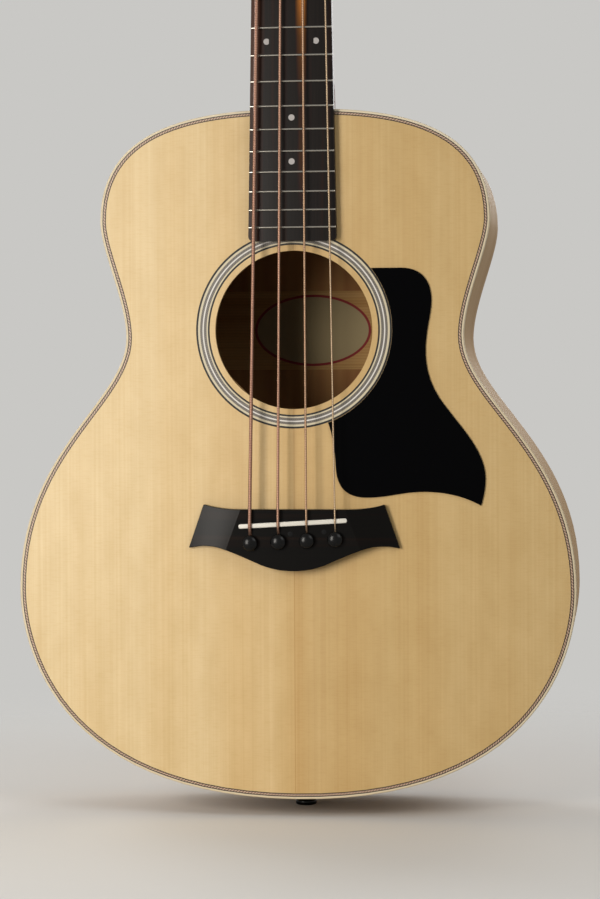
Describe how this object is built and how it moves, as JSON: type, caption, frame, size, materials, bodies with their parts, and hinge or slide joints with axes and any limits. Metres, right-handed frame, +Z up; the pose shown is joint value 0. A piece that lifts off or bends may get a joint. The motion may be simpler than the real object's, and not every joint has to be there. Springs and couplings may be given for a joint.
{
  "type": "acoustic bass guitar",
  "caption": "Short-scale acoustic bass guitar: hollow arched-back body, round soundhole, pinned bridge, fretted neck, open-geared tuners.",
  "frame": {"origin": "centre of the flat outer face of the end pin at the tail of the body, on the centre line", "axes": "+Z up along the neck to the headstock, +X to the treble side (right in the picture), +Y to the back; millimetres in the source"},
  "size_m": [0.3638, 0.1289, 0.9342],
  "materials": {
    "spruce_top": "satin lacquer",
    "maple_body": "satin lacquer",
    "inner_wood": "bare",
    "dark_line": "flush inlay",
    "grey_ring": "flush inlay",
    "black_gloss_plastic": "polished",
    "dark_wood": "oiled",
    "white_bone": "smooth",
    "black_satin_plastic": "smooth",
    "neck_wood": "satin lacquer",
    "steel": "plain",
    "chromed_metal": "polished",
    "brass_wheel": "machined",
    "bronze_wire": "wound wire"
  },
  "bodies": {
    "guitar": {"soundboard": "spruce_top", "back": "maple_body", "bass_side": "maple_body", "treble_side": "maple_body", "neck_block": "inner_wood", "tail_block": "inner_wood", "front_lining_bass": "inner_wood", "back_lining_bass": "inner_wood", "front_lining_treble": "inner_wood", "back_lining_treble": "inner_wood", "x_brace_bass": "inner_wood", "x_brace_treble": "inner_wood", "transverse_brace": "inner_wood", "tone_bar": "inner_wood", "bridge_plate": "inner_wood", "purfling": "dark_line", "rosette": "grey_ring", "pickguard": "black_gloss_plastic", "truss_rod_cover": "black_gloss_plastic", "headplate": "black_gloss_plastic", "bridge": "dark_wood", "fingerboard": "dark_wood", "saddle": "white_bone", "nut": "white_bone", "bridge_pin_e": "black_satin_plastic", "bridge_pin_a": "black_satin_plastic", "bridge_pin_d": "black_satin_plastic", "bridge_pin_g": "black_satin_plastic", "end_pin": "black_satin_plastic", "neck": "neck_wood", "truss_rod": "steel", "tuner_bushing_e": "chromed_metal", "tuner_bushing_a": "chromed_metal", "tuner_bushing_d": "chromed_metal", "tuner_bushing_g": "chromed_metal", "tuner_plate_e": "chromed_metal", "tuner_plate_a": "chromed_metal", "tuner_plate_d": "chromed_metal", "tuner_plate_g": "chromed_metal", "string_e": "bronze_wire", "string_a": "bronze_wire", "string_d": "bronze_wire", "string_g": "bronze_wire"},
    "key_e": {"tuner_key_e": "chromed_metal"},
    "key_a": {"tuner_key_a": "chromed_metal"},
    "key_d": {"tuner_key_d": "chromed_metal"},
    "key_g": {"tuner_key_g": "chromed_metal"},
    "post_e": {"tuner_post_e": "chromed_metal", "tuner_wheel_e": "brass_wheel", "string_winding_e": "bronze_wire"},
    "post_a": {"tuner_post_a": "chromed_metal", "tuner_wheel_a": "brass_wheel", "string_winding_a": "bronze_wire"},
    "post_d": {"tuner_post_d": "chromed_metal", "tuner_wheel_d": "brass_wheel", "string_winding_d": "bronze_wire"},
    "post_g": {"tuner_post_g": "chromed_metal", "tuner_wheel_g": "brass_wheel", "string_winding_g": "bronze_wire"},
    "truss_nut": {"truss_rod_nut": "steel"}
  },
  "joints": [
    {"name": "key_e_turn", "type": "hinge", "parent": "guitar", "child": "key_e", "pos_m": [-0.02, -0.02827, 0.82116], "axis": [1, 0, 0], "continuous": true},
    {"name": "key_a_turn", "type": "hinge", "parent": "guitar", "child": "key_a", "pos_m": [-0.0215, -0.01378, 0.87525], "axis": [1, 0, 0], "continuous": true},
    {"name": "key_d_turn", "type": "hinge", "parent": "guitar", "child": "key_d", "pos_m": [0.0215, -0.01378, 0.87525], "axis": [1, 0, 0], "continuous": true},
    {"name": "key_g_turn", "type": "hinge", "parent": "guitar", "child": "key_g", "pos_m": [0.02, -0.02827, 0.82116], "axis": [1, 0, 0], "continuous": true},
    {"name": "post_e_turn", "type": "hinge", "parent": "guitar", "child": "post_e", "pos_m": [-0.02, -0.04698, 0.83769], "axis": [0, 0.9659, -0.2588], "continuous": true},
    {"name": "post_a_turn", "type": "hinge", "parent": "guitar", "child": "post_a", "pos_m": [-0.0215, -0.03249, 0.89179], "axis": [0, 0.9659, -0.2588], "continuous": true},
    {"name": "post_d_turn", "type": "hinge", "parent": "guitar", "child": "post_d", "pos_m": [0.0215, -0.03249, 0.89179], "axis": [0, 0.9659, -0.2588], "continuous": true},
    {"name": "post_g_turn", "type": "hinge", "parent": "guitar", "child": "post_g", "pos_m": [0.02, -0.04698, 0.83769], "axis": [0, 0.9659, -0.2588], "continuous": true},
    {"name": "truss_rod_nut_turn", "type": "hinge", "parent": "guitar", "child": "truss_nut", "pos_m": [0, -0.04975, 0.80641], "axis": [0, 0, 1], "range_deg": [-180, 180]}
  ],
  "couplings": [
    {"joint": "post_e_turn", "follows": "key_e_turn", "ratio": 0.0625},
    {"joint": "post_a_turn", "follows": "key_a_turn", "ratio": 0.0625},
    {"joint": "post_d_turn", "follows": "key_d_turn", "ratio": 0.0625},
    {"joint": "post_g_turn", "follows": "key_g_turn", "ratio": 0.0625}
  ]
}
